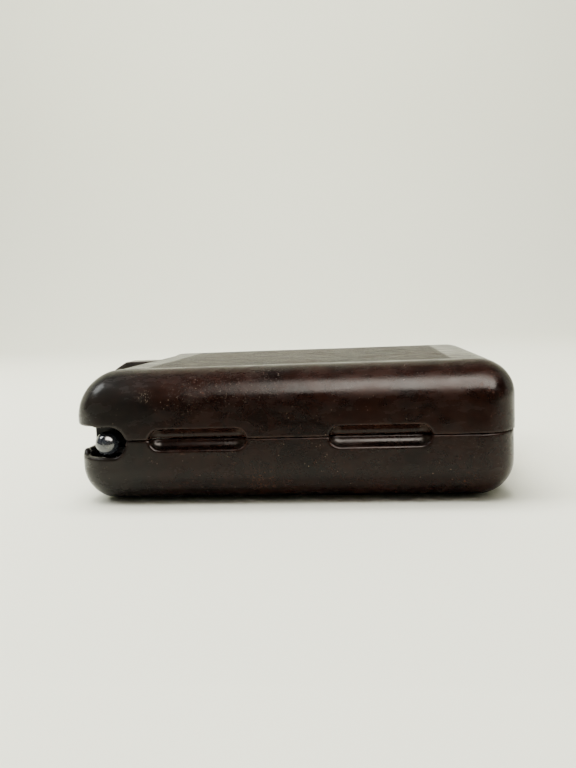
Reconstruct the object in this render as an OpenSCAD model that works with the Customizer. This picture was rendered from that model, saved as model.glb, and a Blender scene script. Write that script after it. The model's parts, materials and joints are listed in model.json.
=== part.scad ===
// Card dealing shoe: a moulded two-part case with a hinged lid. A pack lies on a
// sprung plate in the front of the tray, a knob-turned roller deals its top card
// out of the mouth at the -X end, and a second pack is stored behind the divider.
// Millimetres. Origin: middle of the footprint, on the table. +X to the hinge, +Z up.

/* [Case] */
// Length of the closed case, without the hinge and the thumb lift
case_length = 136; // [135:0.5:138]
// Width of the closed case
case_width = 106; // [105.5:0.5:108]
// Height of the closed case
case_height = 41.5; // [41:0.5:43]
// Height of the seam between the tray and the lid
seam_z = 20.5; // [20.4:0.1:20.7]
// Thickness of the moulded walls
wall = 2.2; // [2.1:0.1:2.4]
// Radius of the rounded edges and corners
edge_r = 11.5; // [11.3:0.1:11.8]
// Radius of the swept front end of the lid
nose_r = 15.6; // [15:0.1:16.5]
// How far the tray stands in from the lid at its front end
tray_front_inset = 0.7; // [0.5:0.1:0.8]
// How far the tray stands in from the lid at its sides and rear end
tray_side_inset = 0.3; // [0.2:0.1:0.3]

/* [Mouth] */
// Height of the tray's front lip
tray_lip_z = 16.9; // [16.7:0.1:17]
// Height of the lid's front lip
lid_lip_z = 24.2; // [24:0.1:24.4]
// Lowest point of the knob notches
notch_low_z = 15.2; // [15:0.1:15.3]
// Highest point of the knob notches
notch_high_z = 24.6; // [24.5:0.1:25]
// Distance from the case's front end to the closed end of a knob notch
notch_reach = 18; // [17.8:0.1:18.1]

/* [Finger grooves] */
// Radius of the half-round grooves
groove_r = 3.3; // [3:0.1:3.4]
// Length of a groove
groove_length = 30; // [28:0.5:31]
// Distance of a groove's middle from the middle of the case
groove_x = 27.5; // [27:0.5:28]

/* [Ribbed panel] */
// Width of one rib with its flute
rib_pitch = 3.2; // [2.8:0.1:4]
// Width of a flute
flute_width = 1.3; // [1:0.1:1.6]
// Depth of a flute
flute_depth = 0.5; // [0.3:0.1:0.7]

/* [Dealing roller] */
// Distance of the roller's axis from the case's front end
roller_inset = 11.3; // [11.1:0.1:11.5]
// Height of the roller's axis
roller_z = 19.3; // [19.3:0.05:19.4]
// Radius of the steel shaft
shaft_r = 1.2; // [1.1:0.05:1.3]
// Radius of the rubber sleeves
sleeve_r = 2.15; // [2.1:0.05:2.2]
// Length of a rubber sleeve
sleeve_length = 16; // [12:1:20]
// Radius of the ball knobs
knob_r = 3.8; // [3.5:0.05:3.8]

/* [Lift plate] */
// How far the plate is pushed down by a full load of cards
plate_travel = 10.5; // [8:0.5:10.5]
// Thickness of the plate
plate_thickness = 1; // [0.8:0.1:1]
// Thickness of the felt on it
felt_thickness = 0.7; // [0.5:0.1:0.7]
// Radius of the spring wire
wire_r = 0.45; // [0.35:0.05:0.5]
// Number of turns of a spring
spring_turns = 4; // [3:1:5]

/* [Hinge] */
// Height of the lid's and the tray's hinge leaf
leaf_height = 6.2; // [5.8:0.1:6.4]
// Width of the hinge
hinge_width = 32; // [30:1:36]
// Radius of the hinge pin
hinge_pin_r = 1; // [0.9:0.05:1.1]
// Outer radius of the knuckles
knuckle_r = 2; // [1.9:0.05:2]

/* [Hidden] */

$fn = 64;
BAKELITE = [0.2, 0.07, 0.05];
STEEL = [0.7, 0.7, 0.72];
BRASS = [0.75, 0.6, 0.3];
RUBBER = [0.08, 0.08, 0.09];
KNOB = [0.05, 0.06, 0.1];
FELT = [0.1, 0.3, 0.2];

BIG = 200;               // longer than the whole case
SEAM_GAP = 0.1;          // half the gap between the two rims
FIT = 0.02;              // radial clearance of a fixed pin
standing_step = 0.3;     // how far the flat that the case stands on is proud
standing_inset = 14;     // from the tray's sides and ends to that flat
RUN = 0.05;              // radial clearance of a turning pin

// Outer corners of the lid and of the tray, and the inner corners of their hollows
lid_lo = [-case_length / 2, -case_width / 2, seam_z + SEAM_GAP];
lid_hi = [case_length / 2, case_width / 2, case_height];
tray_lo = [lid_lo.x + tray_front_inset, lid_lo.y + tray_side_inset, standing_step];
tray_hi = [lid_hi.x - tray_side_inset, lid_hi.y - tray_side_inset, seam_z - SEAM_GAP];
inner_r = edge_r - wall;
floor_z = wall;

// Mouth and notches: the notch's closed end is half round
notch_r = (notch_high_z - notch_low_z) / 2;
notch_x = lid_lo.x + notch_reach - notch_r;
notch_z = (notch_high_z + notch_low_z) / 2;
mouth_depth = 7;
notch_inner_y = 45.2;

// Roller, its bearings and what holds them
roller_x = lid_lo.x + roller_inset;
knob_y = 49.1;
block_in = 41.3;
block_out = 45;
block_front = 5.5;
block_low_z = 17.2;
block_high_z = 25.5;
ear_x = -49.8;
ear_length = 4.8;
ear_out = 50.2;
ear_thickness = 2.6;
bush_r = 1.9;
screw_x = ear_x + ear_length / 2;
screw_y = 47.8;
screw_r = 1;
screw_head_r = 1.8;
screw_head = 1.2;
screw_depth = 8;
collar_r = 2.1;
collar_width = 0.9;
sleeve_spacing = 28;

// Front compartment: gate, plate and springs
gate_x = -62.4;
gate_thickness = 1.6;
gate_half = 40;
root_z = 3.5;            // foot of the inner ribs, inside the floor's rounding
plate_front = -60.3;
plate_rear = -1.3;
plate_half = 44.6;
plate_corner_r = 3.5;
plate_top = roller_z - sleeve_r - 0.2 - felt_thickness;
plate_low = plate_top - plate_thickness;
tongue_y = 24;
tongue_width = 8;
tongue_reach = 2.2;
slot_low = plate_low - plate_travel - 0.25;
spigot_r = 4;
spigot_height = 1;
spring_x = -31;
spring_y = 22;
spring_base_r = 9;
spring_top_r = 5;
spring_clear = 0.05;

// Divider and guides
divider_x = -1;
divider_thickness = 1.2;
divider_top = 19.8;
divider_gap = 0.1;
guide_in = 46;
guide_thickness = 1.5;
finger_cut_r = 11;
stop_x = 60.2;
stop_thickness = 1.6;
stop_y = 22;
stop_width = 6;
stop_top = 18;

// Locating pegs and the bosses that hold them
peg_x = 5;
peg_y = 49;
peg_r = 1;
peg_boss_r = 2.6;
peg_low_z = 15;
peg_high_z = 22.4;
peg_socket_gap = 0.2;
lid_boss_height = 4.5;

// Thumb lift on the lid's swept front end
lift_half = 4.5;
lift_pin_x = -63.5;
lift_pin_y = 2.3;
lift_pin_r = 0.9;
lift_pin_low = 32.8;
lift_pin_high = 39.6;
lift_tip_x = lid_lo.x - 3.3;

// Hinge
hinge_x = lid_hi.x + 1.3;
hinge_z = seam_z;
leaf_thickness = 1;
leaf_gap = 0.05;
knuckle_gap = 0.1;
leaf_clear = 0.3;
recess_depth = 1.1;
rivet_r = 0.75;
rivet_head_r = 1.5;
rivet_head = 0.6;
rivet_tail_r = 1.3;
rivet_tail = 0.5;
rivet_ys = [-12, -5, 5, 12];
leaf_low = hinge_z - knuckle_r - leaf_clear - leaf_height;
leaf_high = hinge_z + knuckle_r + leaf_clear;

// ---------------------------------------------------------------- shared shapes

// Cylinder along Y from y0 to y1
module rod_y(x, z, r, y0, y1) {
    translate([x, y0, z]) rotate([-90, 0, 0]) cylinder(r = r, h = y1 - y0);
}

// Cylinder along X from x0 to x1
module rod_x(y, z, r, x0, x1) {
    translate([x0, y, z]) rotate([0, 90, 0]) cylinder(r = r, h = x1 - x0);
}

// Box from its lowest to its highest corner
module box(lo, hi) {
    translate(lo) cube(hi - lo);
}

// Flat rectangle with round corners
module round_rectangle(lo, hi, r) {
    translate([lo.x + r, lo.y]) square([hi.x - lo.x - 2 * r, hi.y - lo.y]);
    translate([lo.x, lo.y + r]) square([hi.x - lo.x, hi.y - lo.y - 2 * r]);
    for (x = [lo.x + r, hi.x - r], y = [lo.y + r, hi.y - r]) {
        translate([x, y]) circle(r = r);
    }
}

// Block whose upright edges, lower edges and lower corners are all rounded
module pan(lo, hi, r) {
    mid_z = lo.z + r;
    difference() {
        union() {
            translate([0, 0, mid_z]) linear_extrude(hi.z - mid_z + 1) round_rectangle(lo, hi, r);
            box([lo.x + r, lo.y + r, lo.z], [hi.x - r, hi.y - r, mid_z + 1]);
            for (y = [lo.y + r, hi.y - r]) rod_x(y, mid_z, r, lo.x + r, hi.x - r);
            for (x = [lo.x + r, hi.x - r]) rod_y(x, mid_z, r, lo.y + r, hi.y - r);
            for (x = [lo.x + r, hi.x - r], y = [lo.y + r, hi.y - r]) {
                translate([x, y, mid_z]) sphere(r = r);
            }
        }
        box([lo.x - 1, lo.y - 1, hi.z], [hi.x + 1, hi.y + 1, hi.z + edge_r]);
    }
}

// The same block the other way up, with its front end swept back by a larger radius
module cover(lo, hi, r, sweep_r) {
    axis_x = lo.x + sweep_r;
    axis_z = hi.z - sweep_r;
    difference() {
        translate([0, 0, lo.z + hi.z]) mirror([0, 0, 1]) pan(lo, hi, r);
        difference() {
            box([lo.x - 1, lo.y - 1, axis_z], [axis_x, hi.y + 1, hi.z + 1]);
            rod_y(axis_x, axis_z, sweep_r, lo.y - 2, hi.y + 2);
        }
    }
}

module tray_outer() {
    pan(tray_lo, tray_hi, edge_r);
    box([standing_inset - case_length / 2, standing_inset - case_width / 2, 0],
        [case_length / 2 - standing_inset, case_width / 2 - standing_inset, floor_z / 2]);
}

module lid_outer() {
    cover(lid_lo, lid_hi, edge_r, nose_r);
}

// Half-round groove with round ends, on both long sides
module finger_grooves(r, length) {
    for (side = [-1, 1], end = [-1, 1]) {
        half = length / 2 - r;
        y = side * case_width / 2;
        rod_x(y, seam_z, r, end * groove_x - half, end * groove_x + half);
        for (tip = [-half, half]) {
            translate([end * groove_x + tip, y, seam_z]) sphere(r = r);
        }
    }
}

// Slot across the front end, and the deeper notches round the knobs
module mouth() {
    box([-BIG, -BIG, tray_lip_z], [lid_lo.x + mouth_depth, BIG, lid_lip_z]);
    for (side = [-1, 1]) {
        y = side > 0 ? notch_inner_y : -BIG;
        rod_y(notch_x, notch_z, notch_r, y, y + BIG - notch_inner_y);
        translate([-BIG, y, notch_low_z])
            cube([BIG + notch_x, BIG - notch_inner_y, notch_high_z - notch_low_z]);
    }
}

module hinge_recess() {
    half = hinge_width / 2 + 0.4;
    reach = knuckle_r + 0.4;
    box([lid_hi.x - recess_depth, -half, hinge_z - reach], [BIG, half, hinge_z + reach]);
}

// Copies on the near and far side, drawn for the far one
module both_sides() {
    for (side = [0, 1]) mirror([0, side, 0]) children();
}

// ---------------------------------------------------------------- case

module tray_ribs() {
    finger_grooves(groove_r + wall - tray_side_inset, groove_length + 2 * wall);
    box([gate_x, -gate_half, root_z], [gate_x + gate_thickness, gate_half, tray_lip_z]);
    both_sides() {
        box([ear_x, block_out, root_z], [ear_x + ear_length, BIG, block_low_z]);
        for (x = [divider_x - guide_thickness - divider_gap / 2,
                  divider_x + divider_thickness + divider_gap / 2]) {
            box([x, guide_in, root_z], [x + guide_thickness, BIG, divider_top]);
        }
        translate([peg_x, peg_y, 0]) cylinder(r = peg_boss_r, h = BIG);
        box([peg_x - peg_boss_r, peg_y, 0], [peg_x + peg_boss_r, BIG, BIG]);
        box([stop_x, stop_y - stop_width / 2, root_z],
            [stop_x + stop_thickness, stop_y + stop_width / 2, stop_top]);
    }
}

module tray_shell() {
    color(BAKELITE) difference() {
        tray_outer();
        difference() {
            pan([tray_lo.x + wall, tray_lo.y + wall, floor_z],
                [tray_hi.x - wall, tray_hi.y - wall, BIG], inner_r);
            tray_ribs();
        }
        finger_grooves(groove_r, groove_length);
        mouth();
        hinge_recess();
        for (y = rivet_ys) rod_x(y, leaf_low + leaf_height / 2, rivet_r + FIT, stop_x, BIG);
        both_sides() {
            translate([screw_x, screw_y, block_low_z - screw_depth])
                cylinder(r = screw_r + FIT, h = BIG);
            translate([peg_x, peg_y, peg_low_z]) cylinder(r = peg_r + FIT, h = BIG);
        }
    }
}

module flutes() {
    panel_lo = [-46, -38.5];
    panel_hi = [50, 38.5];
    count = floor((panel_hi.y - panel_lo.y - flute_width) / rib_pitch);
    for (i = [0:count]) {
        y = (i - count / 2) * rib_pitch;
        box([panel_lo.x, y - flute_width / 2, case_height - flute_depth],
            [panel_hi.x, y + flute_width / 2, BIG]);
    }
}

module lid_ribs() {
    top = seam_z + lid_boss_height;
    finger_grooves(groove_r + wall, groove_length + 2 * wall);
    both_sides() {
        translate([peg_x, peg_y, 0]) cylinder(r = peg_boss_r, h = top);
        box([peg_x - peg_boss_r, peg_y, 0], [peg_x + peg_boss_r, BIG, top]);
    }
}

module lid_shell() {
    color(BAKELITE) difference() {
        lid_outer();
        difference() {
            cover([lid_lo.x + wall, lid_lo.y + wall, -BIG],
                  [lid_hi.x - wall, lid_hi.y - wall, case_height - wall],
                  inner_r, nose_r - wall);
            lid_ribs();
        }
        finger_grooves(groove_r, groove_length);
        mouth();
        flutes();
        hinge_recess();
        for (y = rivet_ys) rod_x(y, leaf_high + leaf_height / 2, rivet_r + FIT, stop_x, BIG);
        both_sides() {
            translate([peg_x, peg_y, 0])
                cylinder(r = peg_r + peg_socket_gap, h = peg_high_z + peg_socket_gap);
            translate([lift_pin_x, lift_pin_y, lift_pin_low - 2])
                cylinder(r = lift_pin_r + FIT, h = 10);
        }
    }
}

module thumb_lift() {
    top = case_height;
    outline = [[lift_tip_x, top - 3.6], [lid_lo.x + 3.2, top - 0.3],
               [lid_lo.x + nose_r - 2, top], [lid_lo.x + nose_r, top],
               [lid_lo.x + nose_r, top - 6], [lid_lo.x + 4, top - 9],
               [lid_lo.x, top - 6.5], [lift_tip_x + 0.3, top - 4.5]];
    color(BAKELITE) difference() {
        intersection() {
            translate([0, lift_half, 0]) rotate([90, 0, 0]) linear_extrude(2 * lift_half)
                polygon(outline);
            union() {
                translate([lift_tip_x + lift_half, 0, 0]) cylinder(r = lift_half, h = BIG);
                box([lift_tip_x + lift_half, -lift_half, 0], [0, lift_half, BIG]);
            }
        }
        lid_outer();
        both_sides() translate([lift_pin_x, lift_pin_y, 0])
            cylinder(r = lift_pin_r + FIT, h = lift_pin_high + FIT);
    }
}

module thumb_lift_pins() {
    color(STEEL) both_sides() translate([lift_pin_x, lift_pin_y, lift_pin_low])
        cylinder(r = lift_pin_r, h = lift_pin_high - lift_pin_low);
}

module divider() {
    lo = [tray_lo.y + wall + divider_gap, floor_z + divider_gap];
    r = inner_r - divider_gap;
    color(BAKELITE) translate([divider_x, 0, 0]) rotate([90, 0, 90])
        linear_extrude(divider_thickness) difference() {
            union() {
                translate([lo.x, lo.y + r]) square([-2 * lo.x, divider_top - lo.y - r]);
                translate([lo.x + r, lo.y]) square([-2 * (lo.x + r), r + 1]);
                for (side = [-1, 1]) translate([side * (lo.x + r), lo.y + r]) circle(r = r);
            }
            translate([0, divider_top]) circle(r = finger_cut_r);
            for (side = [-1, 1]) translate([side * tongue_y - tongue_width / 2 - 0.3, slot_low])
                square([tongue_width + 0.6, plate_top + 0.1 - slot_low]);
        }
}

module locating_pegs() {
    color(STEEL) both_sides() translate([peg_x, peg_y, peg_low_z])
        cylinder(r = peg_r, h = peg_high_z - peg_low_z);
}

module rear_felt() {
    color(FELT) translate([0, 0, floor_z]) linear_extrude(felt_thickness)
        round_rectangle([2.4, -40.5], [55.5, 40.5], 2);
}

// ---------------------------------------------------------------- dealing roller

// Bearing block for the far side: an arm over the cards, and an ear on the tray's boss
module bearing_block() {
    difference() {
        union() {
            box([roller_x - block_front, block_in, block_low_z],
                [ear_x, block_out, block_high_z]);
            box([ear_x - 1, block_in, block_low_z],
                [ear_x + ear_length, block_out, block_low_z + ear_thickness]);
            box([ear_x, block_out - 1, block_low_z],
                [ear_x + ear_length, ear_out, block_low_z + ear_thickness]);
        }
        rod_y(roller_x, roller_z, bush_r, 0, BIG);
        translate([screw_x, screw_y, 0]) cylinder(r = screw_r + FIT, h = BIG);
    }
}

module bearing_block_near() {
    color(BAKELITE) mirror([0, 1, 0]) bearing_block();
}

module bearing_block_far() {
    color(BAKELITE) bearing_block();
}

module bearing_bushes() {
    color(BRASS) both_sides() difference() {
        rod_y(roller_x, roller_z, bush_r - FIT, block_in, block_out);
        rod_y(roller_x, roller_z, shaft_r + RUN, 0, BIG);
    }
}

module bearing_screws() {
    top = block_low_z + ear_thickness;
    color(STEEL) both_sides() difference() {
        translate([screw_x, screw_y, 0]) union() {
            translate([0, 0, top - 10]) cylinder(r = screw_r, h = 10);
            translate([0, 0, top]) cylinder(r = screw_head_r, h = screw_head);
        }
        box([screw_x - BIG, screw_y - 0.25, top + screw_head / 2],
            [screw_x + BIG, screw_y + 0.25, BIG]);
    }
}

module roller_shaft() {
    color(STEEL) rod_y(roller_x, roller_z, shaft_r, -knob_y - 0.7, knob_y + 0.7);
}

module shaft_ring(r, y0, y1) {
    difference() {
        rod_y(roller_x, roller_z, r, y0, y1);
        rod_y(roller_x, roller_z, shaft_r + FIT, -BIG, BIG);
    }
}

module roller_sleeves() {
    color(RUBBER) for (i = [-1:1]) {
        y = i * sleeve_spacing;
        shaft_ring(sleeve_r, y - sleeve_length / 2, y + sleeve_length / 2);
    }
}

module shaft_collars() {
    color(BRASS) both_sides()
        shaft_ring(collar_r, block_in - 0.1 - collar_width, block_in - 0.1);
}

module knob() {
    difference() {
        translate([roller_x, knob_y, roller_z]) sphere(r = knob_r);
        rod_y(roller_x, roller_z, shaft_r + FIT, 0, knob_y + 0.8);
    }
}

module knob_near() {
    color(KNOB) mirror([0, 1, 0]) knob();
}

module knob_far() {
    color(KNOB) knob();
}

// ---------------------------------------------------------------- lift plate

module plate_outline() {
    round_rectangle([plate_front, -plate_half], [plate_rear, plate_half], plate_corner_r);
}

module lift_plate() {
    color(STEEL) union() {
        translate([0, 0, plate_low]) linear_extrude(plate_thickness) plate_outline();
        both_sides() {
            box([plate_rear - 3, tongue_y - tongue_width / 2, plate_low],
                [plate_rear + tongue_reach, tongue_y + tongue_width / 2, plate_top]);
            translate([spring_x, spring_y, plate_low - spigot_height])
                cylinder(r = spigot_r, h = spigot_height + plate_thickness / 2);
        }
    }
}

module plate_felt() {
    color(FELT) translate([0, 0, plate_top]) linear_extrude(felt_thickness)
        round_rectangle([plate_front + 2, -plate_half + 4], [plate_rear - 2, plate_half - 4], 2);
}

// Centre of the spring wire at turn angle a, for a cone from the floor to the plate
function spring_point(a) =
    let (t = a / (360 * spring_turns),
         r = spring_base_r + (spring_top_r - spring_base_r) * t,
         low = floor_z + wire_r + spring_clear,
         high = plate_low - wire_r - spring_clear)
    [r * cos(a), r * sin(a), low + (high - low) * t];

// Wire of SIDES sides swept along the cone
module conical_spring() {
    SIDES = 6;
    STEP = 20;
    rings = 360 * spring_turns / STEP;
    points = [for (i = [0:rings]) let (p = spring_point(i * STEP), a = i * STEP)
        for (j = [0:SIDES - 1]) let (b = 360 * j / SIDES)
            p + wire_r * [cos(b) * cos(a), cos(b) * sin(a), sin(b)]];
    walls = [for (i = [0:rings - 1], j = [0:SIDES - 1]) let (k = (j + 1) % SIDES)
        [i * SIDES + j, (i + 1) * SIDES + j, (i + 1) * SIDES + k, i * SIDES + k]];
    caps = [[for (j = [0:SIDES - 1]) j],
            [for (j = [0:SIDES - 1]) (rings + 1) * SIDES - 1 - j]];
    polyhedron(points, concat(walls, caps), convexity = 10);
}

module lift_springs() {
    color(STEEL) for (side = [-1, 1]) translate([spring_x, side * spring_y, 0])
        conical_spring();
}

// ---------------------------------------------------------------- hinge

// Knuckles between the given Y stations, each with a web to its leaf
module knuckles(stations, web_x, web_z0, web_z1) {
    for (s = stations) {
        rod_y(hinge_x, hinge_z, knuckle_r, s[0], s[1]);
        box([web_x, s[0], web_z0], [web_x + leaf_thickness, s[1], web_z1]);
    }
}

module hinge_leaf_tray() {
    face = tray_hi.x + leaf_gap;
    pitch = hinge_width / 5;
    stations = [for (i = [-2, 0, 2]) [(i - 0.5) * pitch, (i + 0.5) * pitch]];
    color(BRASS) difference() {
        union() {
            box([face, -hinge_width / 2, leaf_low],
                [face + leaf_thickness, hinge_width / 2, leaf_low + leaf_height]);
            knuckles(stations, face, leaf_low, hinge_z);
        }
        rod_y(hinge_x, hinge_z, hinge_pin_r + RUN, -BIG, BIG);
        for (y = rivet_ys) rod_x(y, leaf_low + leaf_height / 2, rivet_r + FIT, stop_x, BIG);
    }
}

module hinge_leaf_lid() {
    face = lid_hi.x + leaf_gap;
    pitch = hinge_width / 5;
    stations = [for (i = [-1, 1]) [(i - 0.5) * pitch + knuckle_gap,
                                   (i + 0.5) * pitch - knuckle_gap]];
    color(BRASS) difference() {
        union() {
            box([face, -hinge_width / 2, leaf_high],
                [face + leaf_thickness, hinge_width / 2, leaf_high + leaf_height]);
            knuckles(stations, face, hinge_z, leaf_high + 1);
        }
        rod_y(hinge_x, hinge_z, hinge_pin_r + RUN, -BIG, BIG);
        for (y = rivet_ys) rod_x(y, leaf_high + leaf_height / 2, rivet_r + FIT, stop_x, BIG);
    }
}

module hinge_pin() {
    color(STEEL) rod_y(hinge_x, hinge_z, hinge_pin_r, -hinge_width / 2, hinge_width / 2);
}

// Rivets through a leaf whose back lies at x, at height z, into a wall of the case
module rivets(x, z) {
    outside = x + leaf_gap + leaf_thickness;
    inside = x - wall;
    color(BRASS) for (y = rivet_ys) {
        rod_x(y, z, rivet_r, inside - rivet_tail, outside + rivet_head);
        rod_x(y, z, rivet_head_r, outside, outside + rivet_head);
        rod_x(y, z, rivet_tail_r, inside - rivet_tail, inside);
    }
}

module hinge_rivets_tray() {
    rivets(tray_hi.x, leaf_low + leaf_height / 2);
}

module hinge_rivets_lid() {
    rivets(lid_hi.x, leaf_high + leaf_height / 2);
}

tray_shell();
lid_shell();
thumb_lift();
thumb_lift_pins();
divider();
bearing_block_near();
bearing_block_far();
bearing_bushes();
bearing_screws();
roller_shaft();
roller_sleeves();
shaft_collars();
knob_near();
knob_far();
lift_plate();
plate_felt();
lift_springs();
rear_felt();
locating_pegs();
hinge_leaf_tray();
hinge_leaf_lid();
hinge_pin();
hinge_rivets_tray();
hinge_rivets_lid();
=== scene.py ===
"""Looks of the card dealing shoe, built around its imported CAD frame.

The two shells, the small mouldings and the felts are solids given by distance fields in
millimetres, turned into dense quad meshes. The knobs, rivet heads and springs are turned or
swept pieces. Everything else is a CAD node with a finer material and softened edges.
"""
import json
import math

import bmesh
import bpy
import numpy as np
from mathutils import Matrix, Vector


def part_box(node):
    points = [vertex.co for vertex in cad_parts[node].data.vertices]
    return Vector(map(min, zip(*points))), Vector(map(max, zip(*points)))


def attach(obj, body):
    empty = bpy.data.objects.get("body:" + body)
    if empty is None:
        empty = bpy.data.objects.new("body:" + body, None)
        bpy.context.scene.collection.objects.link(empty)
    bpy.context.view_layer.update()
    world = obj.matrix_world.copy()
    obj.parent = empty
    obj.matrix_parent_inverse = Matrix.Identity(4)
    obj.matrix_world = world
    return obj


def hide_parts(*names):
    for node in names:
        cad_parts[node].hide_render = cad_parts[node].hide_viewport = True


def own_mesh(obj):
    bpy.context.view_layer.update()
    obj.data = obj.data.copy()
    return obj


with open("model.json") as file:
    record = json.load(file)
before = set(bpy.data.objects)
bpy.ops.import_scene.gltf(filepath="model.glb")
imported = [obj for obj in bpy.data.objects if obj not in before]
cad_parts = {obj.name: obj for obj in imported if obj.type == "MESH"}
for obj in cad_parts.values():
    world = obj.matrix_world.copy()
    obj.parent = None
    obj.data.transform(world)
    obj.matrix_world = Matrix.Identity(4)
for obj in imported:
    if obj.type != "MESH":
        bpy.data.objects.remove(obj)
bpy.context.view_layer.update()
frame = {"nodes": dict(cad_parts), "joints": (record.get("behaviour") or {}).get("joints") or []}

MM = 0.001
HINGE = next(j for j in frame["joints"] if j["name"] == "lid_hinge")
ROLLER = next(j for j in frame["joints"] if j["name"] == "roller_spin")


def box_mm(node):
    """Lowest and highest corner of a CAD node, in millimetres."""
    lo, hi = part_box(node)
    return np.array(lo) / MM, np.array(hi) / MM


LID_LO, LID_HI = box_mm("lid_shell")
TRAY_LO, TRAY_HI = box_mm("tray_shell")
KNOB_LO, KNOB_HI = box_mm("knob_near")
BLOCK_LO, BLOCK_HI = box_mm("bearing_block_near")
SEAM = (LID_LO[2] + TRAY_HI[2]) / 2
ROLLER_X = ROLLER["pos_m"][0] / MM
ROLLER_Z = ROLLER["pos_m"][2] / MM
HALF_WIDTH = LID_HI[1]

# ------------------------------------------------------------------ camera and stage

PHOTO_HEIGHT = 768
FOCAL_PIXELS = 700
SENSOR = 36
CAMERA_PLACE = (24.0, -257.0, 57.8)
CAMERA_YAW, CAMERA_PITCH, CAMERA_ROLL = 6.45, -5.9, 2.33


def make_camera():
    """The camera stands low in front of the long side, a little to the right."""
    data = bpy.data.cameras.new("camera")
    data.sensor_width = SENSOR
    data.lens = FOCAL_PIXELS * SENSOR / PHOTO_HEIGHT
    data.clip_start = 0.005
    data.clip_end = 20
    camera = bpy.data.objects.new("camera", data)
    bpy.context.scene.collection.objects.link(camera)
    turn = (Matrix.Rotation(math.radians(CAMERA_YAW), 4, "Z")
            @ Matrix.Rotation(math.radians(CAMERA_PITCH), 4, "X")
            @ Matrix.Rotation(math.radians(CAMERA_ROLL), 4, "Y")
            @ Matrix.Rotation(math.radians(90), 4, "X"))
    camera.matrix_world = Matrix.Translation(Vector(CAMERA_PLACE) * MM) @ turn
    bpy.context.scene.camera = camera


# ------------------------------------------------------------------ node helpers


class Nodes:
    """A short way to write a node tree."""

    def __init__(self, tree):
        self.tree = tree
        tree.nodes.clear()

    def add(self, kind, **settings):
        """Adds a node, whose settings are its properties."""
        node = self.tree.nodes.new(kind)
        for key, value in settings.items():
            setattr(node, key, value)
        return node

    def put(self, node, name, value):
        """Sets an input, or links another node's output to it."""
        socket = node.inputs[name]
        if isinstance(value, bpy.types.NodeSocket):
            self.tree.links.new(value, socket)
        else:
            socket.default_value = value
        return node

    def coordinates(self, stretch=(1, 1, 1)):
        """Object coordinates in millimetres, stretched along the axes."""
        place = self.add("ShaderNodeTexCoord")
        scale = self.add("ShaderNodeVectorMath", operation="MULTIPLY")
        self.put(scale, 0, place.outputs["Object"])
        scale.inputs[1].default_value = [s / MM for s in stretch]
        return scale.outputs[0]

    def noise(self, size, detail=4.0, roughness=0.55, stretch=(1, 1, 1), distortion=0.0, seed=0.0):
        """Noise from 0 to 1 whose features are about size millimetres across."""
        texture = self.add("ShaderNodeTexNoise", noise_dimensions="4D")
        self.put(texture, "Vector", self.coordinates(stretch))
        self.put(texture, "W", seed)
        self.put(texture, "Scale", 1 / size)
        self.put(texture, "Detail", detail)
        self.put(texture, "Roughness", roughness)
        self.put(texture, "Distortion", distortion)
        return texture.outputs[0]

    def step(self, value, low, high, out_low=0.0, out_high=1.0):
        """A smooth rise from out_low at low to out_high at high."""
        node = self.add("ShaderNodeMapRange", interpolation_type="SMOOTHSTEP")
        self.put(node, "Value", value)
        self.put(node, "From Min", low)
        self.put(node, "From Max", high)
        self.put(node, "To Min", out_low)
        self.put(node, "To Max", out_high)
        return node.outputs[0]

    def math(self, operation, a, b=0.0, clamp=False):
        node = self.add("ShaderNodeMath", operation=operation, use_clamp=clamp)
        self.put(node, 0, a)
        self.put(node, 1, b)
        return node.outputs[0]

    def mix(self, factor, a, b):
        """Colour a turned into colour b by factor."""
        node = self.add("ShaderNodeMix", data_type="RGBA")
        self.put(node, 0, factor)
        self.put(node, 6, a)
        self.put(node, 7, b)
        return node.outputs[2]

    def place(self):
        """The object's own X, Y and Z, in millimetres."""
        split = self.add("ShaderNodeSeparateXYZ")
        self.put(split, 0, self.coordinates())
        return split.outputs

    def attribute(self, name):
        return self.add("ShaderNodeAttribute", attribute_name=name).outputs["Fac"]

    def upward(self):
        """How far the surface faces up, from -1 to 1."""
        geometry = self.add("ShaderNodeNewGeometry")
        split = self.add("ShaderNodeSeparateXYZ")
        self.put(split, 0, geometry.outputs["Normal"])
        return split.outputs[2]

    def bump(self, height, strength, distance, normal=None):
        node = self.add("ShaderNodeBump")
        self.put(node, "Height", height)
        self.put(node, "Strength", strength)
        self.put(node, "Distance", distance * MM)
        if normal is not None:
            self.put(node, "Normal", normal)
        return node.outputs[0]

    def finish(self, **inputs):
        """The surface itself, with its inputs by their names with _ for a space."""
        shader = self.add("ShaderNodeBsdfPrincipled")
        for name, value in inputs.items():
            self.put(shader, name.replace("_", " "), value)
        output = self.add("ShaderNodeOutputMaterial")
        self.tree.links.new(shader.outputs[0], output.inputs["Surface"])


def material(name):
    made = bpy.data.materials.new(name)
    made.use_nodes = True
    return made, Nodes(made.node_tree)


def rgb(r, g, b):
    return (r, g, b, 1.0)


# ------------------------------------------------------------------ materials


def scratches(n, seed, spacing, turn, mask):
    """Fine broken scratches in one main direction, only where mask allows them."""
    place = n.add("ShaderNodeVectorRotate", rotation_type="EULER_XYZ")
    n.put(place, "Vector", n.coordinates())
    place.inputs["Rotation"].default_value = turn
    squeeze = n.add("ShaderNodeVectorMath", operation="MULTIPLY")
    n.put(squeeze, 0, place.outputs[0])
    squeeze.inputs[1].default_value = (0.05, 1.0, 1.0)
    streaks = n.add("ShaderNodeTexNoise", noise_dimensions="4D")
    n.put(streaks, "Vector", squeeze.outputs[0])
    n.put(streaks, "W", seed)
    n.put(streaks, "Scale", 1 / spacing)
    n.put(streaks, "Detail", 2.0)
    return n.math("MULTIPLY", n.step(streaks.outputs[0], 0.69, 0.75), mask)


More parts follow.
